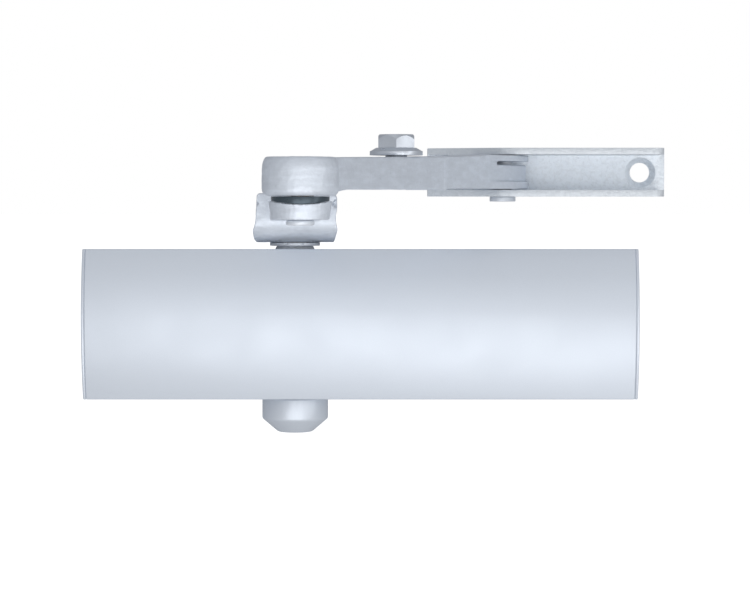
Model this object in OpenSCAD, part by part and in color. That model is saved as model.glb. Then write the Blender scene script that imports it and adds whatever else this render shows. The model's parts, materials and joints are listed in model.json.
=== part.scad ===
// Surface-mounted overhead door closer with a regular two-piece arm.
// Origin: centre of the four body fixing holes, on the face that lies against the door.
// +X runs along the body, +Y goes into the door, +Z is up. Millimetres.

/* [Body cover] */
// Length over both end caps
cover_len = 221; // [219:1:226]
// Height of the cover
cover_h = 60; // [60:0.5:64]
// Depth at the cover's long edges
cover_edge_d = 38; // [38:0.5:42]
// How far the front bows out between the edges
cover_bow = 6; // [6:0.5:9]
// How much each side of the cover draws in towards the door
cover_draft = 0.95; // [0.8:0.05:1]
// Wall of the cover
cover_t = 2; // [1.2:0.1:2]

/* [Housing] */
// Half length of the cylinder tube
tube_half = 92; // [92:0.5:94]
// Outer radius of the tube
tube_r = 19.5; // [19.5:0.1:19.8]
// Radius of the cylinder bore
bore_r = 16; // [15.9:0.05:16.1]
// Distance of the cylinder and spindle axes from the door
axis_depth = 22; // [22:0.1:22.4]
// Spacing of the body fixing holes along X
fix_dx = 197; // [196:0.5:198]
// Spacing of the body fixing holes along Z
fix_dz = 19; // [16:0.5:24]
// Radius of the body fixing holes
fix_r = 2.75; // [2.2:0.05:3.2]

/* [Rack and pinion] */
// Position of the spindle axis along the body
spindle_x = -26.5; // [-27:0.1:-26]
// Gear module
gear_m = 2; // [2:0.5:2]
// Teeth on the pinion
gear_teeth = 9; // [9:1:9]
// Pressure angle of rack and pinion
gear_pa = 25; // [25:0.5:26]
// Widening of each rack space for backlash
gear_backlash = 0.15; // [0.1:0.01:0.3]
// Radius of the spindle journals
journal_r = 7.5; // [7.3:0.05:7.5]
// Width across the flats of the spindle square
square_af = 10.5; // [10:0.1:11]

/* [Arms] */
// Main arm, spindle to elbow
arm_len = 175; // [160:1:190]
// Direction of the main arm, from +X
arm_ang = -87.5; // [-92:0.5:-86]
// Forearm and link together, elbow to frame bracket
fore_len = 197.4; // [190:0.2:205]
// Direction of the forearm, from +X
fore_ang = 67.2; // [66:0.1:68]
// Radius of the forearm's elbow hub
elbow_r = 12.9; // [12:0.1:13.5]
// Radius of the main arm's elbow boss
boss_r = 10.7; // [10:0.1:12]
// Width of the forearm and the link
bar_w = 16; // [14:0.5:17]

/* [Frame bracket] */
// Length of the bracket
bracket_len = 94.9; // [92:0.1:100]
// Height of the channel
bracket_h = 19.6; // [19.4:0.1:21]
// Depth of the channel's flanges
bracket_d = 26; // [25:0.5:28]
// Sheet thickness
bracket_t = 2.7; // [2.5:0.05:2.7]
// Radius of the two screw holes
bracket_hole_r = 4.03; // [2.5:0.01:4.2]
// Distance from the right end to the right hole
bracket_hole_in = 7.45; // [7.2:0.05:9]

/* [Hidden] */
$fn = 64;
eps = 0.5;            // how far a cutter runs past the face it cuts

// Body heights and ends
half_h = cover_h / 2;
half_len = cover_len / 2;
cover_gap = 0.5;      // the cover stops this short of the door
front_r = (half_h * half_h + cover_bow * cover_bow) / (2 * cover_bow);
front_y = -cover_edge_d - cover_bow + front_r;
slab_t = 7;           // base slab of the housing
slab_half_x = 104.5;
slab_half_z = half_h - cover_t - cover_draft - 0.35;
hook_y = -5.4;        // lip inside the cover that grips the slab
hook_w = 1;
hook_d = 1;
hook_half = cover_half(hook_y) - cover_t;
end_t = 1.2;          // end cap plate
end_plug = 4;         // depth of the rim that plugs into the cover
notch_r = 12.8;       // cover notches round the spindle

// Spindle stack, mirrored above and below the gear
gear_half = 9;
shoulder_r = 9.2;
shoulder_z = 12.8;
bearing_z0 = 13;
bearing_z1 = 20.8;
bearing_r = 11;
seal_z0 = 21;
seal_z1 = 23.8;
nut_z0 = 24.1;
nut_z1 = 27.4;
nut_r = 12.5;
nut_recess_r = 10.65;
nut_recess_d = 1.5;
boss_top = 27;
boss_out_r = 14.5;
neck_r = 6.85;        // shaft above the journal
neck_top = 31;
collar_low_r = 7.85;
collar_top_r = 7.2;
square_top = 46.3;
square_bottom = 39.5;
fit_gap = 0.05;       // radial clearance of a running fit

// Gear
pitch_r = gear_m * gear_teeth / 2;
base_r = pitch_r * cos(gear_pa);
pinion_tip_r = pitch_r + 0.9 * gear_m;
pinion_root_r = pitch_r - gear_m;
rack_add = 0.8 * gear_m;
rack_ded = 1.1 * gear_m;
pitch = PI * gear_m;

// Piston and spring
piston_r = bore_r - fit_gap;
window_x0 = spindle_x - 40.8;
window_x1 = spindle_x + 12.5;
piston_x0 = window_x0 - 12;
piston_x1 = window_x1 + 12;
rack_half_z = gear_half - 0.3;    // clears the spindle's shoulders
rail_y = 11.3;        // half width of the window beside the bearings
window_back = 11.8;
spigot_r = 10.5;
spigot_h = 3;
check_r = 4;
check_len = 4;
check_bore_r = 1.5;
ball_r = 2.3;
chamber_r = 2.7;
ball_x = piston_x0 + check_len + sqrt(ball_r * ball_r - check_bore_r * check_bore_r) + 0.02;
ball_travel = 0.8;
pin_r = 0.8;
check_pin_x = ball_x + ball_r + ball_travel + 0.1 + pin_r;
ring_x = piston_x0 + 4;
ring_w = 2.4;
ring_in_r = 14.1;
plate_x0 = 75;
plate_x1 = 79;
wire_r = 2.1;
coil_r = 13.2;
coil_turns = 7.5;
coil_steps = 20;      // rings per turn
coil_sides = 8;

// Plugs and adjuster
plug_face = 80.5;
plug_step = 86;
thread_r = 17.1;
oring_minor = 0.8;
oring_major = bore_r - fit_gap - oring_minor;
oring_x = 83.2;
screw_x0 = 61;
screw_r = 3.95;
screw_shank_r = 4.9;
collar_x0 = 79.2;
collar_r = 6.5;
screw_oring_x = 84;
socket_af = 5;

// Regulating valves, in a block above the bore
valve_xs = [-78, -65, -52];
valve_z = 22;
valve_r = 2.9;
valve_bore_r = 3;
valve_front = -34;
valve_end = -16;
valve_oring_y = -27;
valve_ring_minor = 0.75;

// Main arm
elbow_x = spindle_x + arm_len * cos(arm_ang);
elbow_y = -axis_depth + arm_len * sin(arm_ang);
hub_z0 = 32.4;
hub_z1 = 52.2;
hub_half = 17;
hub_round = 9.6;
hub_pocket_r = 9;
hub_pocket_z = 46.5;
boss_z0 = 43.5;
boss_z1 = 50;
boss_taper = 0.9;     // the boss is this much smaller in radius at the bottom
scoop_r = 48;
scoop_z = 48.8;
arm_half_w = 9.5;
arm_waist = 8.5;
arm_root_z = 41.5;    // underside of the bar at the hub
arm_top_z = 48.3;
pin_shank_r = 3;
pin_head_r = 4.67;
pin_head_h = 1.75;
saddle_r = 9.7;       // washer in the hollow of the boss
saddle_top = 51.3;

// Forearm and link, along the local X axis from the elbow
fore_z0 = 53.4;
fore_z_elbow = 64.5;
fore_z_end = 66;
elbow_z0 = 51.4;
fore_end = 114;
trough_s0 = 40;
trough_z0 = 56.4;
trough_z1 = 63.6;
trough_wall = 2.5;
bolt_s = 83.5;
slot_s1 = 106.2;
slot_r = 4.3;
link_s0 = 44;
link_gap = 0.1;
fork_s0 = 169;
tongue_end = fore_len + 6.4;
tongue_z0 = 57.3;
tongue_z1 = 63.5;
ear_r = 10.5;
ear_z0 = 53.75;
ear_z1 = 56.9;
ear_z2 = 64.7;
ear_z3 = 67.3;
ear_root = fork_s0 - 12;  // the ears widen from here to their round ends
rivet_r = 3.5;
thread_bolt_r = 3.95;
bolt_flange_r = 9.6;
bolt_z0 = 57;
bolt_flange_z = 65.95;
bolt_flange_h = 1.5;
bolt_slope_h = 1.2;
bolt_top = 73.5;
bolt_af = 13;

// Bracket
pivot_x = elbow_x + fore_len * cos(fore_ang);
pivot_y = elbow_y + fore_len * sin(fore_ang);
bracket_z0 = 50.75;
bracket_left = pivot_x - 30.3;
bracket_right = bracket_left + bracket_len;
bracket_mid = bracket_z0 + bracket_h / 2;
bracket_slope_x = 29;     // length over which the left end of the flanges slopes back
bracket_slope_y = 14;     // how far it slopes back
bracket_soft = 7;         // radius where the slope meets the flange's front edge
bracket_corner = 3.5;
web_over = 2.5;           // the web runs on past the flanges at the right end
countersink_r = 6.27;
countersink_d = 2.2;
rivet_head_r = 5.25;
rivet_head_h = 2;

// ---- Helpers -------------------------------------------------------------

// Extrudes a profile drawn in (Y, Z) from x0 to x1
module along_x(x0, x1) {
    translate([x0, 0, 0]) rotate([90, 0, 90]) linear_extrude(x1 - x0) children();
}

// Cylinder on the bore axis
module x_cyl(x0, x1, r, y = -axis_depth, z = 0) {
    translate([x0, y, z]) rotate([0, 90, 0]) cylinder(h = x1 - x0, r = r);
}

// Cylinder parallel to the spindle
module z_cyl(z0, z1, r, x = spindle_x, y = -axis_depth) {
    translate([x, y, z0]) cylinder(h = z1 - z0, r = r);
}

// Cylinder along Y, from the front y0 to the back y1
module y_cyl(y0, y1, r, x, z) {
    translate([x, y1, z]) rotate([90, 0, 0]) cylinder(h = y1 - y0, r = r);
}

module block(lo, hi) {
    translate(lo) cube(hi - lo);
}

module tube(z0, z1, r_out, r_in) {
    difference() {
        z_cyl(z0, z1, r_out);
        z_cyl(z0 - eps, z1 + eps, r_in);
    }
}

module ring(major, minor) {
    rotate_extrude() translate([major, 0]) circle(r = minor, $fn = 32);
}

// Puts children in the frame of an arm: local X runs from the joint along the arm
module on_arm(x, y, ang) {
    translate([x, y, 0]) rotate([0, 0, ang]) children();
}

module main_arm_frame() {
    on_arm(spindle_x, -axis_depth, arm_ang) children();
}

module forearm_frame() {
    on_arm(elbow_x, elbow_y, fore_ang) children();
}

// Extrudes a side view drawn in (local X, Z) across the arm, from y0 to y1
module across(y0, y1) {
    translate([0, y1, 0]) rotate([90, 0, 0]) linear_extrude(y1 - y0) children();
}

// ---- Housing and cover ---------------------------------------------------

// Half height of the cover at depth y
function cover_half(y) = half_h - cover_draft * (y + cover_edge_d) / (cover_edge_d - cover_gap);

module cover_profile(inset, back = -cover_gap) {
    front = -cover_edge_d - cover_bow;
    intersection() {
        translate([front_y, 0]) circle(r = front_r - inset, $fn = 256);
        polygon([[front, inset - cover_half(front)], [back, inset - cover_half(back)],
                 [back, cover_half(back) - inset], [front, cover_half(front) - inset]]);
    }
}

module spindle_notch(z0, z1) {
    z_cyl(z0, z1, notch_r);
    block([spindle_x - notch_r, -axis_depth, z0], [spindle_x + notch_r, eps, z1]);
}

module cover() {
    color("gainsboro") difference() {
        union() {
            difference() {
                along_x(-half_len + end_t, half_len - end_t) cover_profile(0);
                along_x(-half_len, half_len) cover_profile(cover_t, eps);
            }
            for (side = [-1, 1])
                block([-slab_half_x, hook_y, side > 0 ? hook_half - hook_d : -hook_half - 0.01],
                      [slab_half_x, hook_y + hook_w, side > 0 ? hook_half + 0.01 : -hook_half + hook_d]);
        }
        spindle_notch(half_h - cover_t - 2, half_h + eps);
        spindle_notch(-half_h - eps, -half_h + cover_t + 2);
    }
}

// side is -1 for the left cap, 1 for the right
module end_cap(side) {
    fit = cover_t + 0.1;
    mirror([side < 0 ? 1 : 0, 0, 0]) difference() {
        union() {
            along_x(half_len - end_t, half_len) cover_profile(0);
            along_x(half_len - end_t - end_plug, half_len - end_t) cover_profile(fit);
        }
        along_x(half_len - end_t - end_plug - eps, half_len - end_t - 0.2) cover_profile(fit + 2);
        if (side > 0) x_cyl(half_len - 3 * end_t, half_len + eps, 5);
    }
}

module left_end_cap() { color("gainsboro") end_cap(-1); }
module right_end_cap() { color("gainsboro") end_cap(1); }

module back_pockets() {
    for (sx = [-1, 1], sz = [-1, 1])
        block([sx > 0 ? 8 : -84, -3, sz > 0 ? 3 : -21], [sx > 0 ? 84 : -8, eps, sz > 0 ? 21 : -3]);
}

module housing() {
    groove_half = hook_half - hook_d - 0.2;
    color("silver") difference() {
        union() {
            x_cyl(-tube_half, tube_half, tube_r);
            block([-slab_half_x, -slab_t, -slab_half_z], [slab_half_x, 0, slab_half_z]);
            block([-tube_half, -axis_depth, -15], [tube_half, -slab_t + 1, 15]);
            z_cyl(-boss_top, boss_top, boss_out_r);
            block([spindle_x - boss_out_r, -axis_depth, -boss_top],
                  [spindle_x + boss_out_r, -slab_t + 1, boss_top]);
            block([-84, valve_front, 12], [-46, -slab_t + 1, 26.5]);
        }
        x_cyl(-tube_half - eps, tube_half + eps, bore_r);
        x_cyl(-tube_half - eps, -plug_step, thread_r);
        x_cyl(plug_step, tube_half + eps, thread_r);
        z_cyl(-nut_z0, nut_z0, bearing_r + fit_gap);
        z_cyl(nut_z0 - 0.01, boss_top + eps, nut_r + fit_gap);
        z_cyl(-boss_top - eps, -nut_z0 + 0.01, nut_r + fit_gap);
        for (sx = [-1, 1], sz = [-1, 1])
            y_cyl(-slab_t - eps, eps, fix_r, sx * fix_dx / 2, sz * fix_dz / 2);
        for (x = valve_xs) {
            y_cyl(valve_front - eps, valve_end + 2, valve_bore_r, x, valve_z);
            translate([x, -18, 0]) translate([0, 0, bore_r - 3]) cylinder(h = 8, r = 1.1);
        }
        for (side = [-1, 1])
            block([-slab_half_x - eps, hook_y - 0.3, side > 0 ? groove_half : -slab_half_z - eps],
                  [slab_half_x + eps, hook_y + hook_w + 0.3, side > 0 ? slab_half_z + eps : -groove_half]);
        back_pockets();
    }
}

// ---- Plugs, bearings and seals -------------------------------------------

module plug_body() {
    difference() {
        union() {
            x_cyl(plug_face, plug_step + 0.2, bore_r - fit_gap);
            x_cyl(plug_step + 0.2, tube_half - 0.2, thread_r - fit_gap);
        }
        difference() {
            x_cyl(oring_x - 1.1, oring_x + 1.1, bore_r + 1);
            x_cyl(oring_x - 1.5, oring_x + 1.5, oring_major - oring_minor - 0.05);
        }
    }
}

module left_plug() {
    color("darkgray") mirror([1, 0, 0]) difference() {
        plug_body();
        translate([tube_half - 6, -axis_depth, 0]) rotate([0, 90, 0])
            cylinder(h = 8, r = 10 / sqrt(3), $fn = 6);
    }
}

module right_plug() {
    color("darkgray") difference() {
        plug_body();
        x_cyl(plug_face - eps, tube_half + eps, screw_shank_r + 0.1);
        for (sz = [-1, 1]) x_cyl(tube_half - 5, tube_half + eps, 1.6, -axis_depth, sz * 11);
    }
}

module plug_orings() {
    color("dimgray") for (side = [-1, 1])
        translate([side * oring_x, -axis_depth, 0]) rotate([0, 90, 0]) ring(oring_major, oring_minor);
}

module upper_bearing() { color("goldenrod") tube(bearing_z0, bearing_z1, bearing_r, journal_r + fit_gap); }
module lower_bearing() { color("goldenrod") tube(-bearing_z1, -bearing_z0, bearing_r, journal_r + fit_gap); }
module upper_seal() { color("dimgray") tube(seal_z0, seal_z1, bearing_r - 0.05, journal_r + 0.03); }
module lower_seal() { color("dimgray") tube(-seal_z1, -seal_z0, bearing_r - 0.05, journal_r + 0.03); }

module bearing_nut() {
    difference() {
        z_cyl(nut_z0, nut_z1, nut_r);
        z_cyl(nut_z0 - eps, nut_z1 + eps, journal_r + 0.1);
        z_cyl(nut_z1 - nut_recess_d, nut_z1 + eps, nut_recess_r);
        for (a = [0 : 90 : 270])
            translate([spindle_x, -axis_depth, nut_z0 - eps]) rotate([0, 0, a + 45])
                translate([9.2, 0, 0]) cylinder(h = nut_z1 - nut_z0 + 2 * eps, r = 0.9, $fn = 24);
    }
}

module upper_bearing_nut() { color("darkgray") bearing_nut(); }
module lower_bearing_nut() { color("darkgray") mirror([0, 0, 1]) bearing_nut(); }

module bottom_cap() {
    cap_r = 13.3;
    cap_top = -half_h - 0.1;
    cone_z = -38.75;
    cap_z = -44.2;
    color("gainsboro") difference() {
        union() {
            z_cyl(cone_z, cap_top, cap_r);
            translate([spindle_x, -axis_depth, cap_z])
                cylinder(h = cone_z - cap_z, r1 = 6.9, r2 = cap_r);
            tube(cap_top - 0.01, -nut_z1 + nut_recess_d - 0.1, nut_recess_r - 0.05, 9.3);
        }
        z_cyl(-40.2, cap_top + eps, 9.3);
    }
}

// ---- Spindle and main arm ------------------------------------------------

function inv_deg(a) = tan(a) * 180 / PI - a;
function flank_half(r) =
    90 / gear_teeth + inv_deg(gear_pa) - (r > base_r ? inv_deg(acos(base_r / r)) : 0);
function polar(r, a) = [r * cos(a), r * sin(a)];

flank_steps = 7;
function flank_r(i) = base_r + (pinion_tip_r - base_r) * i / flank_steps;

// Outline of the pinion, one tooth centred on -Y
pinion_outline = [
    for (k = [0 : gear_teeth - 1]) let (c = -90 + k * 360 / gear_teeth)
        each concat(
            [polar(pinion_root_r, c - flank_half(base_r))],
            [for (i = [0 : flank_steps]) polar(flank_r(i), c - flank_half(flank_r(i)))],
            [for (i = [flank_steps : -1 : 0]) polar(flank_r(i), c + flank_half(flank_r(i)))],
            [polar(pinion_root_r, c + flank_half(base_r))])
];

module spindle_square(z0, z1, grow = 0) {
    intersection() {
        translate([spindle_x, -axis_depth, (z0 + z1) / 2])
            rotate([0, 0, arm_ang]) cube([square_af + 2 * grow, square_af + 2 * grow, z1 - z0], center = true);
        z_cyl(z0 - eps, z1 + eps, neck_r - 0.05 + grow);
    }
}

module pinion() {
    color("dimgray") difference() {
        union() {
            translate([spindle_x, -axis_depth, -gear_half])
                linear_extrude(2 * gear_half) polygon(pinion_outline);
            for (side = [-1, 1]) mirror([0, 0, side < 0 ? 1 : 0]) {
                z_cyl(gear_half, shoulder_z, shoulder_r);
                z_cyl(shoulder_z, seal_z1 + 0.2, journal_r);
                z_cyl(seal_z1 + 0.2, neck_top, neck_r);
            }
            spindle_square(neck_top - 1, square_top);
            spindle_square(-square_bottom, -neck_top + 1);
        }
        z_cyl(square_top - 15, square_top + eps, 3);
    }
}

module spindle_collar() {
    color([0.25, 0.26, 0.28]) difference() {
        union() {
            z_cyl(nut_z1 + 0.2, half_h, collar_low_r);
            translate([spindle_x, -axis_depth, half_h])
                cylinder(h = neck_top - half_h - 0.05, r1 = collar_low_r, r2 = collar_top_r);
        }
        z_cyl(nut_z1, neck_top + eps, neck_r + 0.02);
    }
}

module spindle_washer() {
    color("lightgray") difference() {
        tube(neck_top, hub_z0 - 0.1, 10.1, neck_r + 0.1);
        for (x = [-3.6, 2.6])
            block([spindle_x + x, -axis_depth - 10.6, hub_z0 - 0.7], [spindle_x + x + 1, -axis_depth - 9, hub_z0]);
    }
}

// View of the hub along the arm, in (distance across, Z), bulging at a third of its height
hub_front = [
    [-15.5, hub_z0], [-16.6, 34.2], [-17.1, 37.3], [-16.2, 39.7], [-15.9, 42], [-15.7, 46],
    [-15.4, 51.3], [-14.6, hub_z1], [15.2, hub_z1], [16.3, 51.3], [16.8, 50], [16.8, 46.5],
    [16.3, 43.8], [16.3, 40.6], [16.9, 37.7], [16.2, 34.5], [15.6, hub_z0]
];

function oval(x, y, rx, ry, from, to, steps) =
    [for (i = [0 : steps]) let (a = from + (to - from) * i / steps) [x + rx * cos(a), y + ry * sin(a)]];
function arc(x, y, r, from, to, steps) = oval(x, y, r, r, from, to, steps);

// Side view of the hub, in (distance along, Z), flat in front and behind and round underneath
hub_side = concat(
    arc(-hub_half + hub_round, hub_z0 + hub_round, hub_round, 180, 270, 12),
    arc(hub_half - hub_round, hub_z0 + hub_round, hub_round, 270, 360, 12),
    [[hub_half, hub_z1], [-hub_half, hub_z1]]);

module main_arm_hub() {
    difference() {
        intersection() {
            along_x(-hub_half - 1, hub_half + 1) polygon(hub_front);
            across(-hub_half - 1, hub_half + 1) polygon(hub_side);
        }
        for (side = [-1, 1])
            translate([hub_half, side * 16.4, 48]) rotate([45, 0, 0]) cube([8, 2.6, 2.6], center = true);
    }
}

// The arm's bar, which gets thinner towards the elbow
module main_arm_bar() {
    intersection() {
        translate([0, 0, hub_z0]) linear_extrude(hub_z1 - hub_z0)
            polygon([[10, -arm_half_w], [60, -arm_half_w], [arm_len - 30, -arm_waist],
                     [arm_len, -arm_waist], [arm_len, arm_waist], [arm_len - 30, arm_waist],
                     [60, arm_half_w], [10, arm_half_w]]);
        across(-hub_half, hub_half)
            polygon([[10, arm_root_z], [arm_len, boss_z0 + 0.05], [arm_len, arm_top_z], [10, arm_top_z]]);
    }
}

// The hollow across the top of the elbow boss
module scoop(r) {
    translate([arm_len - 30, 0, scoop_z + scoop_r]) rotate([0, 90, 0]) cylinder(h = 50, r = r, $fn = 256);
}

module main_arm() {
    color("gainsboro") difference() {
        union() {
            main_arm_frame() {
                main_arm_hub();
                main_arm_bar();
                translate([arm_len, 0, boss_z0])
                    cylinder(h = boss_z1 - boss_z0, r1 = boss_r - boss_taper, r2 = boss_r);
            }
        }
        main_arm_frame() {
            scoop(scoop_r);
            translate([arm_len, 0, boss_z0 - eps])
                cylinder(h = boss_z1 - boss_z0 + 2 * eps, r = pin_shank_r + 0.01);
        }
        spindle_square(hub_z0 - eps, hub_pocket_z + eps, fit_gap);
        z_cyl(hub_pocket_z, hub_z1 + eps, hub_pocket_r);
    }
}

module arm_washer() {
    color("darkgray") tube(hub_pocket_z + 0.05, 48, 8.2, 3.2);
}

module arm_screw() {
    color("gray") difference() {
        union() {
            z_cyl(33, 48.1, 2.95);
            z_cyl(48.05, 51.8, 5);
        }
        z_cyl(49.4, 53, socket_af / sqrt(3), $fn = 6);
    }
}

module elbow_pin() {
    pin_top = 60.5;
    color("silver") translate([elbow_x, elbow_y, 0]) {
        translate([0, 0, boss_z0 - pin_head_h - 0.05]) cylinder(h = pin_head_h, r = pin_head_r);
        translate([0, 0, boss_z0 - 0.1]) cylinder(h = pin_top - boss_z0 + 0.2, r = pin_shank_r);
        translate([0, 0, pin_top]) cylinder(h = 2.4, r1 = 5.6, r2 = 5);
    }
}

// Fills the hollow of the boss and carries the forearm's hub
module elbow_washer() {
    color("dimgray") main_arm_frame() difference() {
        intersection() {
            translate([arm_len, 0, scoop_z]) cylinder(h = saddle_top - scoop_z, r = saddle_r);
            scoop(scoop_r - fit_gap);
        }
        translate([arm_len, 0, scoop_z - eps])
            cylinder(h = saddle_top - scoop_z + 2 * eps, r = pin_shank_r + fit_gap);
    }
}

// ---- Piston, spring and valves -------------------------------------------

rack_first = -6;
rack_last = 1;
space_half = pitch / 4 + gear_backlash / 2;
space_tip = space_half + rack_add * tan(gear_pa);
space_root = space_half - rack_ded * tan(gear_pa);
rack_tip_y = -axis_depth - pitch_r + rack_add;
rack_root_y = -axis_depth - pitch_r - rack_ded;

// Outline of the window that the pinion runs in, with the rack along its front edge
window_outline = concat(
    [[window_x0, -axis_depth + window_back], [window_x0, rack_tip_y]],
    [for (k = [rack_first : rack_last]) let (c = spindle_x + k * pitch)
        each [[c - space_tip, rack_tip_y], [c - space_root, rack_root_y],
              [c + space_root, rack_root_y], [c + space_tip, rack_tip_y]]],
    [[window_x1, rack_tip_y], [window_x1, -axis_depth + window_back]]);

module piston() {
    color("darkgray") difference() {
        union() {
            x_cyl(piston_x0, piston_x1, piston_r);
            x_cyl(piston_x1, piston_x1 + spigot_h, spigot_r);
        }
        translate([0, 0, -bore_r - 1]) linear_extrude(2 * bore_r + 2) polygon(window_outline);
        for (side = [-1, 1])
            block([window_x0, -axis_depth - rail_y, side > 0 ? rack_half_z : -bore_r - 1],
                  [window_x1, -axis_depth + window_back, side > 0 ? bore_r + 1 : -rack_half_z]);
        x_cyl(piston_x0 - eps, piston_x0 + check_len, check_r + 0.02);
        x_cyl(piston_x0 + check_len - 0.01, window_x0 + eps, chamber_r);
        z_cyl(-6, 6, pin_r + 0.02, check_pin_x);
        difference() {
            x_cyl(ring_x, ring_x + ring_w, bore_r + 1);
            x_cyl(ring_x - eps, ring_x + ring_w + eps, ring_in_r);
        }
    }
}

module piston_ring() {
    color("dimgray") difference() {
        x_cyl(ring_x + 0.1, ring_x + ring_w - 0.1, piston_r + 0.02);
        x_cyl(ring_x, ring_x + ring_w, ring_in_r + 0.05);
    }
}

module check_seat() {
    color("goldenrod") difference() {
        x_cyl(piston_x0, piston_x0 + check_len, check_r);
        x_cyl(piston_x0 - eps, piston_x0 + check_len + eps, check_bore_r);
    }
}

module check_pin() { color("gray") z_cyl(-5.9, 5.9, pin_r, check_pin_x); }
module check_ball() { color("silver") translate([ball_x, -axis_depth, 0]) sphere(r = ball_r); }

// Axial position of the coil's centre line after t turns: closed at both ends, open between
coil_x0 = piston_x1 + wire_r + 0.05;
coil_x1 = plate_x0 - wire_r - 0.05;
closed_rise = 2 * wire_r + 0.15;
open_rise = (coil_x1 - coil_x0 - 2 * closed_rise) / (coil_turns - 2);
function coil_x(t) = coil_x0 + (t < 1 ? t * closed_rise
    : t > coil_turns - 1 ? coil_x1 - coil_x0 - (coil_turns - t) * closed_rise
    : closed_rise + (t - 1) * open_rise);
coil_rings = coil_turns * coil_steps;
coil_points = [
    for (i = [0 : coil_rings], j = [0 : coil_sides - 1])
        let (a = 360 * i / coil_steps, b = 360 * j / coil_sides, r = coil_r + wire_r * cos(b))
            [coil_x(i / coil_steps) + wire_r * sin(b), -axis_depth + r * cos(a), r * sin(a)]
];
coil_faces = concat(
    [[for (j = [0 : coil_sides - 1]) j]],
    [for (i = [0 : coil_rings - 1], j = [0 : coil_sides - 1])
        let (n = (j + 1) % coil_sides, p = i * coil_sides, q = p + coil_sides)
            each [[p + j, q + j, q + n], [p + j, q + n, p + n]]],
    [[for (j = [coil_sides - 1 : -1 : 0]) coil_rings * coil_sides + j]]);

module closing_spring() {
    color("slategray") polyhedron(points = coil_points, faces = coil_faces, convexity = 10);
}

module spring_plate() {
    color("gray") difference() {
        union() {
            x_cyl(plate_x0, plate_x1, bore_r - 0.2);
            x_cyl(plate_x0 - spigot_h, plate_x0, spigot_r);
        }
        x_cyl(plate_x0 - spigot_h - eps, plate_x1 + eps, screw_r + fit_gap);
    }
}

module adjusting_screw() {
    color("gray") difference() {
        union() {
            x_cyl(screw_x0, collar_x0, screw_r);
            x_cyl(collar_x0, plug_face - 0.1, collar_r);
            x_cyl(plug_face - 0.1, tube_half - 0.5, screw_shank_r);
        }
        translate([tube_half - 6, -axis_depth, 0]) rotate([0, 90, 0])
            cylinder(h = 8, r = socket_af / sqrt(3), $fn = 6);
        difference() {
            x_cyl(screw_oring_x - 1, screw_oring_x + 1, screw_shank_r + 1);
            x_cyl(screw_oring_x - 1.5, screw_oring_x + 1.5, 3.4);
        }
    }
}

module adjuster_oring() {
    color("dimgray") translate([screw_oring_x, -axis_depth, 0]) rotate([0, 90, 0]) ring(4.2, 0.75);
}

module valve(i) {
    x = valve_xs[i];
    difference() {
        union() {
            y_cyl(valve_front + 0.3, valve_end - 2, valve_r, x, valve_z);
            translate([x, valve_end + 0.5, valve_z]) rotate([90, 0, 0]) cylinder(h = 2.5, r1 = 0.7, r2 = 2);
        }
        block([x - 4, valve_front - eps, valve_z - 0.5], [x + 4, valve_front + 1.8, valve_z + 0.5]);
        difference() {
            y_cyl(valve_oring_y - 0.9, valve_oring_y + 0.9, valve_r + 1, x, valve_z);
            y_cyl(valve_oring_y - 1.5, valve_oring_y + 1.5, 1.4, x, valve_z);
        }
    }
}

module valve_oring(i) {
    translate([valve_xs[i], valve_oring_y, valve_z]) rotate([90, 0, 0]) ring(2.2, valve_ring_minor);
}

module sweep_valve() { color("goldenrod") valve(0); }
module latch_valve() { color("goldenrod") valve(1); }
module backcheck_valve() { color("goldenrod") valve(2); }
module sweep_oring() { color("dimgray") valve_oring(0); }
module latch_oring() { color("dimgray") valve_oring(1); }
module backcheck_oring() { color("dimgray") valve_oring(2); }

// ---- Forearm, link and bracket -------------------------------------------

// Height of the top face at distance s from the elbow, rising towards the bracket
function top_z(s) = fore_z_elbow + (fore_z_end - fore_z_elbow) * (s - 14) / (fore_end - 14);

// Concave blend under the hub, up to the underside of the bar
function hub_blend(s) = fore_z0 - 1.2 * pow(1 - (s - 11) / 15, 2);

// Half section of the hub, with soft edges that are longer at the top
hub_section = concat(
    [[0, elbow_z0]],
    oval(elbow_r - 1.65, elbow_z0 + 2.5, 1.65, 2.5, -90, 0, 6),
    oval(elbow_r - 1.8, fore_z_elbow - 4.9, 1.8, 4.9, 0, 90, 8),
    [[0, fore_z_elbow]]);

module forearm() {
    color("lightgray") forearm_frame() difference() {
        union() {
            rotate_extrude($fn = 96) polygon(hub_section);
            across(-bar_w / 2, bar_w / 2)
                polygon(concat([[0, elbow_z0]], [for (s = [11 : 3 : 26]) [s, hub_blend(s)]],
                               [[fore_end, fore_z0], [fore_end, fore_z_end],
                                [14, fore_z_elbow], [0, fore_z_elbow]]));
        }
        block([trough_s0, -bar_w / 2 + trough_wall, trough_z0], [fore_end + eps, bar_w / 2 + eps, trough_z1]);
        translate([0, 0, trough_z1 - eps]) linear_extrude(5) {
            translate([bolt_s, 0]) circle(r = slot_r);
            translate([slot_s1 - slot_r, 0]) circle(r = slot_r);
            translate([bolt_s, -slot_r]) square([slot_s1 - slot_r - bolt_s, 2 * slot_r]);
        }
        translate([0, 0, elbow_z0 - eps]) cylinder(h = 10, r = 4.62);
        translate([0, 0, 60.3]) cylinder(h = 6, r = 7);
    }
}

module elbow_bush() {
    color("goldenrod") translate([elbow_x, elbow_y, elbow_z0]) difference() {
        cylinder(h = 8.8, r = 4.6);
        translate([0, 0, -eps]) cylinder(h = 10, r = pin_shank_r + fit_gap);
    }
}

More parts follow.
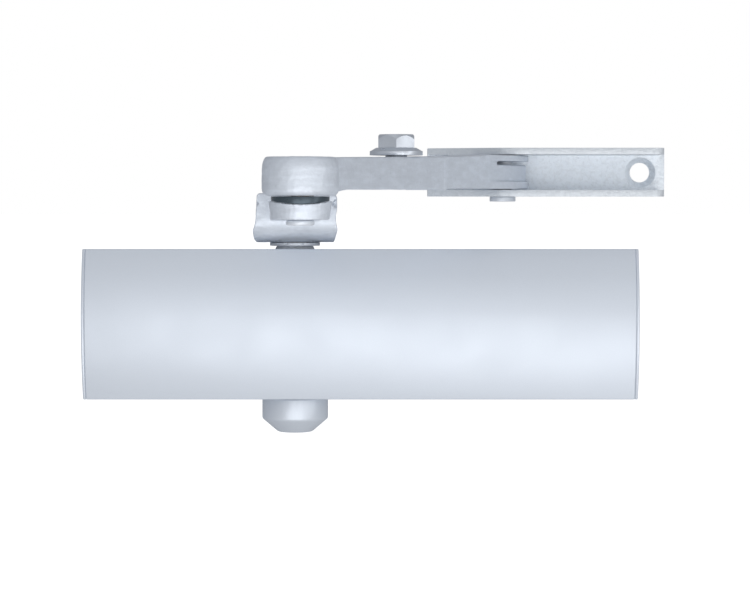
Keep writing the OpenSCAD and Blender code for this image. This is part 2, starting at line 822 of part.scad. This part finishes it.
// A round ear whose sides run in, tangent to it, to the width of the bar
module ear(z0, z1) {
    reach = fore_len - ear_root;
    touch = 180 - atan(bar_w / 2 / reach) - acos(ear_r / norm([reach, bar_w / 2]));
    touch_s = fore_len + ear_r * cos(touch);
    touch_y = ear_r * sin(touch);
    translate([fore_len, 0, z0]) cylinder(h = z1 - z0, r = ear_r);
    translate([0, 0, z0]) linear_extrude(z1 - z0)
        polygon([[ear_root, -bar_w / 2], [touch_s, -touch_y], [touch_s, touch_y], [ear_root, bar_w / 2]]);
}

module link_fork() {
    color("lightgray") forearm_frame() difference() {
        union() {
            block([link_s0, -bar_w / 2 + trough_wall + link_gap, trough_z0 + link_gap],
                  [fore_end + 1, bar_w / 2 - link_gap, trough_z1 - link_gap]);
            across(-bar_w / 2, bar_w / 2)
                polygon([[fore_end + link_gap, fore_z0], [fore_end + 14, ear_z0], [fork_s0, ear_z0],
                         [fork_s0, ear_z3], [fore_end + link_gap, fore_z_end]]);
            block([fork_s0 - 1, -bar_w / 2, tongue_z0], [tongue_end, bar_w / 2, tongue_z1]);
            ear(ear_z0, ear_z1);
            ear(ear_z2, ear_z3);
        }
        translate([fore_len, 0, 50]) cylinder(h = 20, r = rivet_r + fit_gap);
        translate([bolt_s, 0, 50]) cylinder(h = 20, r = thread_bolt_r + fit_gap);
    }
}

module clamp_bolt() {
    color("gray") forearm_frame() translate([bolt_s, 0, 0]) {
        translate([0, 0, bolt_z0]) cylinder(h = bolt_flange_z - bolt_z0 + 0.5, r = thread_bolt_r);
        translate([0, 0, bolt_flange_z]) cylinder(h = bolt_flange_h, r = bolt_flange_r);
        translate([0, 0, bolt_flange_z + bolt_flange_h])
            cylinder(h = bolt_slope_h, r1 = bolt_flange_r - 0.2, r2 = 7.3);
        rotate([0, 0, -fore_ang - 90]) intersection() {
            translate([0, 0, bolt_flange_z + 1])
                cylinder(h = bolt_top - bolt_flange_z - 1, r = bolt_af / sqrt(3), $fn = 6);
            translate([0, 0, bolt_flange_z]) cylinder(h = bolt_top - bolt_flange_z, r1 = 12, r2 = 6.1);
        }
    }
}

module bracket_plan() {
    slope = atan(bracket_slope_y / bracket_slope_x);
    soft_x = bracket_left + bracket_slope_x + bracket_soft * tan(slope / 2);
    polygon(concat(
        [[bracket_left, 0], [bracket_left, -bracket_d + bracket_slope_y]],
        arc(soft_x, -bracket_d + bracket_soft, bracket_soft, -90 - slope, -90, 5),
        arc(bracket_right - bracket_corner, -bracket_d + bracket_corner, bracket_corner, -90, 0, 8),
        [[bracket_right, 0]]));
}

module bracket_screw_hole(x) {
    y_cyl(-bracket_t - eps, eps, bracket_hole_r, x, bracket_mid);
    translate([x, -bracket_t + countersink_d, bracket_mid]) rotate([90, 0, 0])
        cylinder(h = countersink_d, r1 = bracket_hole_r, r2 = countersink_r);
}

module frame_bracket() {
    color("lightgray") difference() {
        union() {
            translate([0, 0, bracket_z0]) linear_extrude(bracket_h) bracket_plan();
            block([bracket_right - 1, -bracket_t, bracket_z0],
                  [bracket_right + web_over, 0, bracket_z0 + bracket_h]);
        }
        block([bracket_left - eps, -bracket_d - eps, bracket_z0 + bracket_t],
              [bracket_right + eps, -bracket_t, bracket_z0 + bracket_h - bracket_t]);
        bracket_screw_hole(bracket_right - bracket_hole_in);
        bracket_screw_hole(bracket_left + bracket_hole_in);
        z_cyl(bracket_z0 - eps, bracket_z0 + bracket_h + eps, rivet_r + 0.01, pivot_x, pivot_y);
        translate([pivot_x, pivot_y, bracket_z0 + bracket_h - 1.5])
            cylinder(h = 1.51, r1 = rivet_r + 0.01, r2 = 5);
    }
}

module bracket_rivet() {
    top = bracket_z0 + bracket_h;
    color("lightgray") {
        z_cyl(bracket_z0 - rivet_head_h, bracket_z0 - 0.05, rivet_head_r, pivot_x, pivot_y);
        z_cyl(bracket_z0 - 0.1, top - 0.05, rivet_r, pivot_x, pivot_y);
        translate([pivot_x, pivot_y, top - 1.4]) cylinder(h = 1.35, r1 = rivet_r, r2 = 4.85);
    }
}

housing();
cover();
left_end_cap();
right_end_cap();
left_plug();
right_plug();
plug_orings();
upper_bearing();
lower_bearing();
upper_seal();
lower_seal();
upper_bearing_nut();
lower_bearing_nut();
bottom_cap();
pinion();
spindle_collar();
spindle_washer();
main_arm();
arm_washer();
arm_screw();
elbow_pin();
elbow_washer();
piston();
piston_ring();
check_seat();
check_pin();
check_ball();
closing_spring();
spring_plate();
adjusting_screw();
adjuster_oring();
sweep_valve();
sweep_oring();
latch_valve();
latch_oring();
backcheck_valve();
backcheck_oring();
forearm();
elbow_bush();
link_fork();
clamp_bolt();
frame_bracket();
bracket_rivet();
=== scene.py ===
"""Door closer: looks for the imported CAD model. Metres, in the CAD frame."""

import json
import math

import bmesh
import bpy
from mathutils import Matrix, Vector


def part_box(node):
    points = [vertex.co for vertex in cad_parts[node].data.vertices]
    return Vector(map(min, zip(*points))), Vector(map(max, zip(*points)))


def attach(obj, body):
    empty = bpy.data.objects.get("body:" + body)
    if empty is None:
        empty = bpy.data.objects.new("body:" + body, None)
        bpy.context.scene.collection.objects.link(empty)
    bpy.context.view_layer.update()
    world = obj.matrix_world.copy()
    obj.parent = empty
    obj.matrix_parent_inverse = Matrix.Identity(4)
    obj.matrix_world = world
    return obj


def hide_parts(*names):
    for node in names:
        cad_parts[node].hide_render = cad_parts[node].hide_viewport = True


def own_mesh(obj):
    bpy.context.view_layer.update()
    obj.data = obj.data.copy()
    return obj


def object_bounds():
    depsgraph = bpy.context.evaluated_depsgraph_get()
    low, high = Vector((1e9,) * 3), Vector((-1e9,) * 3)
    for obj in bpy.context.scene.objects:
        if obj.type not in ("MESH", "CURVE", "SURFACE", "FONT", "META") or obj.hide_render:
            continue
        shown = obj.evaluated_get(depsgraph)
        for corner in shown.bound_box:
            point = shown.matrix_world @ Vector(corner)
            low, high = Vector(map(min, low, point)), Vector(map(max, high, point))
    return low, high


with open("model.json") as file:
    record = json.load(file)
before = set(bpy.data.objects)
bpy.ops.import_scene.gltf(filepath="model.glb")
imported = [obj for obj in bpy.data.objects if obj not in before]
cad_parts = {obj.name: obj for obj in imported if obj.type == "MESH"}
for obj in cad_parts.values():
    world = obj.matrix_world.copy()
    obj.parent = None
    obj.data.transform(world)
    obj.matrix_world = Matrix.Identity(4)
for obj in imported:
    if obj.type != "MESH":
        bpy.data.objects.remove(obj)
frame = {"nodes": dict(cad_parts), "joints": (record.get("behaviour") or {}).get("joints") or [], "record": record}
cad_low, cad_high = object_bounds()
nodes = frame["nodes"]
joints = {j["name"]: j for j in frame["joints"]}
MM = 0.001

# Camera: in front of the closer, a little above the middle of the body
CAMERA_PLACE = (0.0058, -0.988, 0.0534)
CAMERA_TARGET = (0.0058, -0.038, 0.00973)
SENSOR_MM, LENS_MM = 36, 114.86

# Room that lights the object: the side it is brightest on, and its colours
BRIGHT_SIDE = (0.25, -1.0, -0.55)
ROOM_DARK = (0.44, 0.45, 0.48)
ROOM_MIDDLE = (0.52, 0.54, 0.57)
ROOM_BRIGHT = (1.0, 1.0, 1.0)
ROOM_STRENGTH = 0.8

# Lamps: name, place, target, size and watts
LAMPS = (
    ("front_softbox", (0.12, -1.05, -0.26), (0.0, -0.12, 0.0), (1.3, 0.7), 4.95),
    ("top_fill", (-0.4, -0.6, 1.4), (0, -0.05, 0.02), (1.2, 1.2), 1.2),
    ("side_softbox", (1.0, -0.66, 0.02), (0, -0.12, 0.03), (0.35, 0.8), 1.1),
)

FLOOR_DROP = 0.12       # the floor's distance below the closer
FLOOR_HALF = 20         # half of the floor's side
FLOOR_GLOW = 0.75       # keeps the floor evenly pale

# Meshes
WELD_M = 2e-6           # points closer than this are one corner
VOXEL_MM = 0.4          # grain of the remade castings
SEAM_HALF_MM = 2.5      # the strip at the seam whose edges stay sharp
SINK_MM = 0.35          # how far the link's faces lie below the forearm's at the seam
SINK_FADE_MM = 40       # the length over which that fades out
BRACKET_WEB_MM = 4      # the bracket's painted shade fades out this far in front of its back, so it is palest there


# ---- Camera, light and floor -------------------------------------------------

def look_at(obj, target):
    direction = Vector(target) - obj.location
    obj.rotation_mode = "QUATERNION"
    obj.rotation_quaternion = direction.to_track_quat("-Z", "Y")


def make_camera():
    data = bpy.data.cameras.new("camera")
    data.sensor_width = SENSOR_MM
    data.lens = LENS_MM
    data.clip_start, data.clip_end = 0.05, 50
    cam = bpy.data.objects.new("camera", data)
    bpy.context.scene.collection.objects.link(cam)
    cam.location = CAMERA_PLACE
    look_at(cam, CAMERA_TARGET)
    bpy.context.scene.camera = cam


def soft_light(name, place, target, size, watts):
    data = bpy.data.lights.new(name, "AREA")
    data.shape = "RECTANGLE"
    data.size, data.size_y = size
    data.energy = watts
    lamp = bpy.data.objects.new(name, data)
    bpy.context.scene.collection.objects.link(lamp)
    lamp.location = place
    look_at(lamp, target)


def make_world():
    """White to the eye; to the object, a soft grey room that is brightest ahead and a little below."""
    world = bpy.data.worlds.new("studio")
    bpy.context.scene.world = world
    world.use_nodes = True
    tree = world.node_tree
    tree.nodes.clear()
    n, link = tree.nodes.new, tree.links.new
    coords = n("ShaderNodeTexCoord")
    facing = n("ShaderNodeVectorMath")
    facing.operation = "DOT_PRODUCT"
    facing.inputs[1].default_value = Vector(BRIGHT_SIDE).normalized()
    link(coords.outputs["Generated"], facing.inputs[0])
    ramp = n("ShaderNodeValToRGB")
    ramp.color_ramp.interpolation = "B_SPLINE"
    stops = ramp.color_ramp.elements
    stops[0].position, stops[0].color = 0.0, (*ROOM_DARK, 1)
    stops[1].position, stops[1].color = 1.0, (*ROOM_BRIGHT, 1)
    stops.new(0.5).color = (*ROOM_MIDDLE, 1)
    spread = n("ShaderNodeMapRange")
    spread.inputs["From Min"].default_value = -1.0
    link(facing.outputs["Value"], spread.inputs["Value"])
    link(spread.outputs["Result"], ramp.inputs[0])
    room = n("ShaderNodeBackground")
    room.inputs["Strength"].default_value = ROOM_STRENGTH
    link(ramp.outputs[0], room.inputs["Color"])
    white = n("ShaderNodeBackground")
    white.inputs["Color"].default_value = (1, 1, 1, 1)
    path = n("ShaderNodeLightPath")
    mix = n("ShaderNodeMixShader")
    link(path.outputs["Is Camera Ray"], mix.inputs[0])
    link(room.outputs[0], mix.inputs[1])
    link(white.outputs[0], mix.inputs[2])
    out = n("ShaderNodeOutputWorld")
    link(mix.outputs[0], out.inputs[0])


def make_floor():
    """A plain pale floor, well below the closer, which hangs on its door."""
    mesh = bpy.data.meshes.new("floor")
    bm = bmesh.new()
    bmesh.ops.create_grid(bm, x_segments=8, y_segments=8, size=FLOOR_HALF)
    bm.to_mesh(mesh)
    bm.free()
    floor = bpy.data.objects.new("floor", mesh)
    bpy.context.scene.collection.objects.link(floor)
    floor.location = (0, 0, cad_low.z - FLOOR_DROP)
    mat = bpy.data.materials.new("floor_white")
    mat.use_nodes = True
    bsdf = mat.node_tree.nodes["Principled BSDF"]
    bsdf.inputs["Base Color"].default_value = (0.9, 0.9, 0.9, 1)
    bsdf.inputs["Roughness"].default_value = 0.9
    bsdf.inputs["Emission Color"].default_value = (1, 1, 1, 1)
    bsdf.inputs["Emission Strength"].default_value = FLOOR_GLOW
    mesh.materials.append(mat)
    floor.visible_diffuse = False
    floor.visible_glossy = False


# ---- Materials ---------------------------------------------------------------

class Shader:
    """A Principled material with helpers for the procedural detail that feeds it."""

    def __init__(self, name, color, metallic, roughness, **sockets):
        self.mat = bpy.data.materials.new(name)
        self.mat.use_nodes = True
        self.tree = self.mat.node_tree
        self.bsdf = self.tree.nodes["Principled BSDF"]
        self.bsdf.inputs["Metallic"].default_value = metallic
        self.bsdf.inputs["Roughness"].default_value = roughness
        for socket, value in sockets.items():
            self.bsdf.inputs[socket.replace("_", " ")].default_value = value
        self.color = color
        self.roughness = roughness
        self.coords = self.node("ShaderNodeTexCoord").outputs["Object"]
        self.height = None

    def node(self, kind, **settings):
        made = self.tree.nodes.new(kind)
        for key, value in settings.items():
            setattr(made, key, value)
        return made

    def link(self, a, b):
        self.tree.links.new(a, b)

    def noise(self, scale, detail=3, stretch=(1, 1, 1), rough=0.5):
        """Noise from 0 to 1, with features about 1/scale metres across."""
        mapping = self.node("ShaderNodeMapping")
        mapping.inputs["Scale"].default_value = stretch
        self.link(self.coords, mapping.inputs["Vector"])
        tex = self.node("ShaderNodeTexNoise")
        tex.inputs["Scale"].default_value = scale
        tex.inputs["Detail"].default_value = detail
        tex.inputs["Roughness"].default_value = rough
        self.link(mapping.outputs[0], tex.inputs["Vector"])
        return tex.outputs["Fac"]

    def spots(self, scale, size):
        """Small rounded pits: 1 in the pit and 0 outside."""
        tex = self.node("ShaderNodeTexVoronoi")
        tex.inputs["Scale"].default_value = scale
        self.link(self.coords, tex.inputs["Vector"])
        return self.remap(tex.outputs["Distance"], 0.0, size, 1.0, 0.0)

    def depth(self):
        """Place along Y, with the door's face at 0 and the viewer on the negative side."""
        split = self.node("ShaderNodeSeparateXYZ")
        self.link(self.coords, split.inputs[0])
        return split.outputs["Y"]

    def remap(self, value, low, high, to_low, to_high):
        node = self.node("ShaderNodeMapRange")
        for socket, number in zip(("From Min", "From Max", "To Min", "To Max"),
                                  (low, high, to_low, to_high)):
            node.inputs[socket].default_value = number
        self.link(value, node.inputs["Value"])
        return node.outputs["Result"]

    def tint(self, layers):
        """Base colour: self.color, then each (factor, colour) mixed over it."""
        last = None
        for factor, color in layers:
            mix = self.node("ShaderNodeMix", data_type="RGBA")
            self.link(factor, mix.inputs["Factor"])
            if last is None:
                mix.inputs["A"].default_value = (*self.color, 1)
            else:
                self.link(last, mix.inputs["A"])
            mix.inputs["B"].default_value = (*color, 1)
            last = mix.outputs["Result"]
        self.link(last, self.bsdf.inputs["Base Color"])

    def vary_roughness(self, value, spread):
        self.link(self.remap(value, 0.3, 0.7, self.roughness - spread, self.roughness + spread),
                  self.bsdf.inputs["Roughness"])

    def bump(self, value, depth_mm, strength=1.0):
        """Adds one layer of surface relief, depth_mm deep."""
        node = self.node("ShaderNodeBump")
        node.inputs["Strength"].default_value = strength
        node.inputs["Distance"].default_value = depth_mm * MM
        self.link(value, node.inputs["Height"])
        if self.height is not None:
            self.link(self.height, node.inputs["Normal"])
        self.height = node.outputs["Normal"]
        self.link(self.height, self.bsdf.inputs["Normal"])


def shade(color, k):
    """The colour made k times as bright."""
    return tuple(c * k for c in color)


def silver_paint(name, color, metallic=0.35, roughness=0.46):
    """Smooth silver lacquer: fine flake, faint orange peel, slight cloudiness."""
    s = Shader(name, color, metallic, roughness, Coat_Weight=0.15, Coat_Roughness=0.4)
    cloud = s.noise(18, 4)
    flake = s.noise(5200, 1)
    s.tint([(s.remap(cloud, 0.35, 0.7, 0, 0.22), shade(color, 0.93)),
            (s.remap(flake, 0.45, 0.75, 0, 0.30), shade(color, 1.12))])
    s.vary_roughness(s.noise(60, 3), 0.03)
    s.bump(s.noise(520, 2), 0.012, 0.5)
    s.bump(flake, 0.004, 0.35)
    return s.mat


def cast_paint(name, color, metallic=0.35, roughness=0.46):
    """Silver paint over a sand-cast surface: smears, soft hollows, grain and pores."""
    s = Shader(name, color, metallic, roughness, Coat_Weight=0.12, Coat_Roughness=0.4)
    grain = s.noise(620, 4, rough=0.6)
    hollows = s.noise(170, 4, rough=0.6)
    smears = s.noise(120, 5, stretch=(1, 1, 3.5), rough=0.62)
    pits = s.spots(210, 0.16)
    s.tint([(s.remap(hollows, 0.35, 0.65, 0, 0.35), shade(color, 0.88)),
            (s.remap(smears, 0.5, 0.62, 0, 0.6), shade(color, 1.1)),
            (s.remap(smears, 0.46, 0.36, 0, 0.35), shade(color, 0.86)),
            (s.remap(grain, 0.55, 0.8, 0, 0.4), shade(color, 1.12)),
            (s.remap(pits, 0.0, 1.0, 0, 0.35), shade(color, 0.72))])
    s.vary_roughness(grain, 0.06)
    s.bump(hollows, 0.35, 0.6)
    s.bump(smears, 0.2, 0.5)
    s.bump(grain, 0.07, 0.6)
    s.bump(pits, -0.06, 0.5)
    return s.mat


def wrinkle_paint(name, color, lip_y, web_y):
    """Silver paint over pressed sheet: a crinkle of ridges, a few pinholes, and painted shade that darkens it
    towards the front lips, palest on the web.
    """
    s = Shader(name, color, 0.3, 0.44, Coat_Weight=0.12, Coat_Roughness=0.4)
    crinkle = s.noise(640, 3, rough=0.65)
    cloud = s.noise(90, 3)
    pits = s.spots(420, 0.2)
    # painted shade: darker towards the front lips at lip_y, fading out to the plain colour at web_y
    s.tint([(s.remap(s.depth(), lip_y, web_y, 1, 0), shade(color, 0.75)),
            (s.remap(cloud, 0.35, 0.7, 0, 0.2), shade(color, 0.92)),
            (s.remap(crinkle, 0.52, 0.4, 0, 0.5), shade(color, 0.8)),
            (pits, shade(color, 0.84))])
    s.vary_roughness(crinkle, 0.08)
    s.bump(cloud, 0.15, 0.4)
    s.bump(crinkle, 0.32, 1.0)
    return s.mat


def plated_steel(name, color, roughness=0.26, metallic=0.9):
    """Zinc-plated steel: crystalline mottling and rubbed, slightly uneven gloss."""
    s = Shader(name, color, metallic, roughness)
    cloud = s.noise(160, 4)
    grain = s.noise(1500, 3)
    s.tint([(s.remap(cloud, 0.35, 0.7, 0, 0.45), shade(color, 0.82)),
            (s.remap(grain, 0.5, 0.8, 0, 0.3), shade(color, 1.1))])
    s.vary_roughness(cloud, 0.07)
    s.bump(grain, 0.012, 0.5)
    return s.mat


def machined(name, color, roughness=0.3, stretch=(1, 1, 12), metallic=0.95):
    """Turned or ground metal, with fine lines across one axis."""
    s = Shader(name, color, metallic, roughness)
    lines = s.noise(240, 3, stretch=stretch)
    cloud = s.noise(45, 3)
    s.tint([(s.remap(cloud, 0.35, 0.7, 0, 0.35), shade(color, 0.85)),
            (s.remap(lines, 0.5, 0.8, 0, 0.3), shade(color, 1.12))])
    s.vary_roughness(lines, 0.06)
    s.bump(lines, 0.012, 0.5)
    return s.mat


def die_cast(name, color):
    """Bare die-cast aluminium: flow marks, grain and small pores."""
    s = Shader(name, color, 0.85, 0.5)
    flow = s.noise(38, 5, stretch=(0.4, 1, 1))
    grain = s.noise(900, 3)
    pits = s.spots(300, 0.14)
    s.tint([(s.remap(flow, 0.3, 0.7, 0, 0.5), shade(color, 0.8)),
            (s.remap(pits, 0, 1, 0, 0.4), shade(color, 0.55))])
    s.vary_roughness(flow, 0.08)
    s.bump(flow, 0.12, 0.4)
    s.bump(grain, 0.03, 0.5)
    s.bump(pits, -0.05, 0.5)
    return s.mat


def rubber(name, color, roughness=0.6):
    """Moulded rubber or plastic with a dusty bloom."""
    s = Shader(name, color, 0.0, roughness)
    bloom = s.noise(90, 4)
    grain = s.noise(1400, 2)
    s.tint([(s.remap(bloom, 0.4, 0.75, 0, 0.5), shade(color, 1.5))])
    s.vary_roughness(bloom, 0.1)
    s.bump(grain, 0.02, 0.5)
    return s.mat


SILVER = (0.715, 0.765, 0.84)
bracket_low, bracket_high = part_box("frame_bracket")
materials = {
    "cover_silver": silver_paint("cover_silver", SILVER),
    "end_cap_silver": silver_paint("end_cap_silver", shade(SILVER, 0.97), roughness=0.4),
    "cast_housing": die_cast("cast_housing", (0.52, 0.54, 0.57)),
    "plug_metal": machined("plug_metal", (0.55, 0.57, 0.6), stretch=(10, 1, 1)),
    "arm_silver": cast_paint("arm_silver", SILVER),
    # painted light and shade: a paler silver than the arm's, darkened towards the lips, so the shaded web deep in
    # the channel comes out as bright as the lips
    "bracket_silver": wrinkle_paint("bracket_silver", (0.86, 0.91, 0.965),
                                    bracket_low.y, bracket_high.y - BRACKET_WEB_MM * MM),
    "bolt_steel": plated_steel("bolt_steel", (0.68, 0.72, 0.78), roughness=0.34, metallic=0.75),
    "gear_steel": machined("gear_steel", (0.42, 0.43, 0.45)),
    "washer_steel": plated_steel("washer_steel", (0.80, 0.84, 0.90), roughness=0.4, metallic=0.2),
    "nut_steel": machined("nut_steel", (0.36, 0.37, 0.4)),
    # painted shade: this near-black slate stands for the shade in the gap under the forearm's hub, on the elbow
    # washer; the hidden closing spring shares it as dark steel
    "spring_steel": machined("spring_steel", (0.075, 0.10, 0.12), stretch=(1, 1, 1), metallic=0.6),
    "bronze": machined("bronze", (0.60, 0.42, 0.2)),
    "seal_rubber": rubber("seal_rubber", (0.02, 0.02, 0.022)),
    "collar_dark": rubber("collar_dark", (0.80, 0.84, 0.90), roughness=0.45),
}
node_slots = {s["node"]: s["material_slot"] for s in frame["record"]["subparts"]}


# ---- Frame nodes: rounded edges and real materials ---------------------------

EDGE_MM = {
    "cover": 0.45, "left_end_cap": 0.4, "right_end_cap": 0.4, "housing": 0.5, "bottom_cap": 1.0,
    "main_arm": 0.8, "forearm": 0.8, "link_fork": 0.5, "frame_bracket": 0.35, "clamp_bolt": 0.35,
    "elbow_washer": 0.25, "bracket_rivet": 0.3, "elbow_pin": 0.5,
    "spindle_washer": 0.25, "spindle_collar": 0.1,
    "arm_screw": 0.25, "arm_washer": 0.2, "upper_bearing_nut": 0.2, "lower_bearing_nut": 0.2,
    "left_plug": 0.2, "right_plug": 0.2,
}


def soften(obj, edge_mm):
    """Joins the frame mesh's split corners and rounds its sharp edges a little."""
    weld = obj.modifiers.new("weld", "WELD")
    weld.merge_threshold = WELD_M
    flat = obj.modifiers.new("flat", "DECIMATE")
    flat.decimate_type = "DISSOLVE"
    flat.angle_limit = math.radians(0.3)
    bevel = obj.modifiers.new("edge", "BEVEL")
    bevel.width = edge_mm * MM
    bevel.segments = 3
    bevel.limit_method = "ANGLE"
    bevel.angle_limit = math.radians(32)
    bevel.use_clamp_overlap = True
    bevel.loop_slide = False
    bevel.harden_normals = True


def dress_frame():
    for name, obj in nodes.items():
        obj.data.materials.clear()
        obj.data.materials.append(materials[node_slots[name]])
        for poly in obj.data.polygons:
            poly.use_smooth = True
            poly.material_index = 0
        if name in EDGE_MM:
            soften(obj, EDGE_MM[name])


# ---- Pieces remade for the look ----------------------------------------------

def new_piece(name, mesh, body, slot, replaced):
    obj = bpy.data.objects.new(name, mesh)
    bpy.context.scene.collection.objects.link(obj)
    mesh.materials.clear()
    mesh.materials.append(materials[slot])
    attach(obj, body)
    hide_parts(replaced)
    return obj


def wavy_texture(name, size_mm):
    tex = bpy.data.textures.new(name, "CLOUDS")
    tex.noise_scale = size_mm * MM
    tex.noise_depth = 1
    return tex


def voxel_mesh(source):
    """A copy of a mesh rebuilt from even voxels, with one closed skin."""
    carrier = bpy.data.objects.new("carrier", source.copy())
    bpy.context.scene.collection.objects.link(carrier)
    weld = carrier.modifiers.new("weld", "WELD")
    weld.merge_threshold = WELD_M
    remesh = carrier.modifiers.new("voxels", "REMESH")
    remesh.mode = "VOXEL"
    remesh.voxel_size = VOXEL_MM * MM
    remesh.use_smooth_shade = True
    shown = carrier.evaluated_get(bpy.context.evaluated_depsgraph_get())
    made = bpy.data.meshes.new_from_object(shown)
    bpy.data.objects.remove(carrier, do_unlink=True)
    return made


def cast_piece(node, body, rounds, dents_mm, crisp=None):
    """A casting remade from its frame mesh: worn edges, then shallow dents that only go inward.

    Where crisp(point) is true, the edges stay as sharp as the voxels leave them.
    """
    mesh = voxel_mesh(nodes[node].data)
    mesh.name = node + "_casting"
    obj = new_piece(mesh.name, mesh, body, node_slots[node], node)
    worn = obj.vertex_groups.new(name="worn")
    worn.add([v.index for v in mesh.vertices if crisp is None or not crisp(v.co)], 1.0, "REPLACE")
    smooth = obj.modifiers.new("worn_edges", "SMOOTH")
    smooth.factor = 0.5
    smooth.iterations = rounds
    smooth.vertex_group = "worn"
    for name, size_mm, share in (("broad_dents", 6.0, 0.6), ("small_dents", 2.0, 0.4)):
        dents = obj.modifiers.new(name, "DISPLACE")
        dents.texture = wavy_texture(f"{node}_{name}", size_mm)
        dents.texture_coords = "LOCAL"
        dents.mid_level = 1.0
        dents.strength = dents_mm * share * MM
        dents.vertex_group = "worn"
    return obj


LINK_AXIS = Vector(joints["link_slide"]["axis"]).normalized()
SEAM = max(LINK_AXIS.dot(v.co) for v in nodes["forearm"].data.vertices)


def near_seam(point):
    """True close to the seam where the link leaves the forearm."""
    return abs(LINK_AXIS.dot(point) - SEAM) < SEAM_HALF_MM * MM


def hide_step(link):
    """Sinks the link's faces a hair below the forearm's, fading out towards its ears."""
    sunk = link.vertex_groups.new(name="sunk")
    fade = SINK_FADE_MM * MM
    for v in link.data.vertices:
        past = LINK_AXIS.dot(v.co) - SEAM
        if 0 <= past < fade:
            sunk.add([v.index], 1 - past / fade, "REPLACE")
    sink = link.modifiers.new("sink", "DISPLACE")
    sink.mid_level = 0
    sink.strength = -SINK_MM * MM
    sink.vertex_group = "sunk"


def coil_spring():
    """The closing spring as a smooth helix: closed ends, open coils between.

    Both its ends move, so it is two runs of coils that meet at a still point set by the two joints' travels.
    """
    low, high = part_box("closing_spring")
    wire_r, turns, ring_steps, sides = 2.1 * MM, 7.5, 48, 14
    centre = (low + high) / 2
    coil_r = (high.y - low.y) / 2 - wire_r
    closed = 2 * wire_r + 0.15 * MM
    start, end = low.x + wire_r, high.x - wire_r
    opening = (end - start - 2 * closed) / (turns - 2)
    last_ring = round(turns * ring_steps)

    def along(i):
        t = i / ring_steps
        if t < 1:
            return start + t * closed
        if t > turns - 1:
            return end - (turns - t) * closed
        return start + closed + (t - 1) * opening

    def ring_points(i):
        angle = math.tau * i / ring_steps
        for j in range(sides):
            b = math.tau * j / sides
            r = coil_r + wire_r * math.cos(b)
            yield (along(i) + wire_r * math.sin(b), centre.y + r * math.cos(angle),
                   centre.z + r * math.sin(angle))

    def run_of_coils(name, first, last):
        bm = bmesh.new()
        rings = [[bm.verts.new(p) for p in ring_points(i)] for i in range(first, last + 1)]
        for one, two in zip(rings, rings[1:]):
            for j in range(sides):
                k = (j + 1) % sides
                bm.faces.new((one[j], two[j], two[k], one[k]))
        bm.faces.new(rings[0])
        bm.faces.new(list(reversed(rings[-1])))
        bmesh.ops.recalc_face_normals(bm, faces=bm.faces)
        for face in bm.faces:
            face.smooth = True
        mesh = bpy.data.meshes.new(name)
        bm.to_mesh(mesh)
        bm.free()
        coils = new_piece(name, mesh, "closer_body", "spring_steel", "closing_spring")
        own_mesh(coils)

    piston_travel = joints["piston_slide"]["range_m"][1]
    plate_travel = joints["spring_plate_slide"]["range_m"][1]
    share = piston_travel / (piston_travel + plate_travel)
    split = round((1 + ((high.x - low.x) * share - closed) / opening) * ring_steps)
    run_of_coils("closing_spring_coils", 0, split)
    run_of_coils("closing_spring_end_coils", split, last_ring)


# ---- Build -------------------------------------------------------------------

make_camera()
make_world()
make_floor()
for lamp in LAMPS:
    soft_light(*lamp)
dress_frame()
cast_piece("main_arm", "spindle", 3, 0.24)
cast_piece("forearm", "forearm", 10, 0.30, near_seam)
hide_step(cast_piece("link_fork", "link", 4, 0.16, near_seam))
coil_spring()

bpy.context.scene.view_settings.view_transform = "Standard"
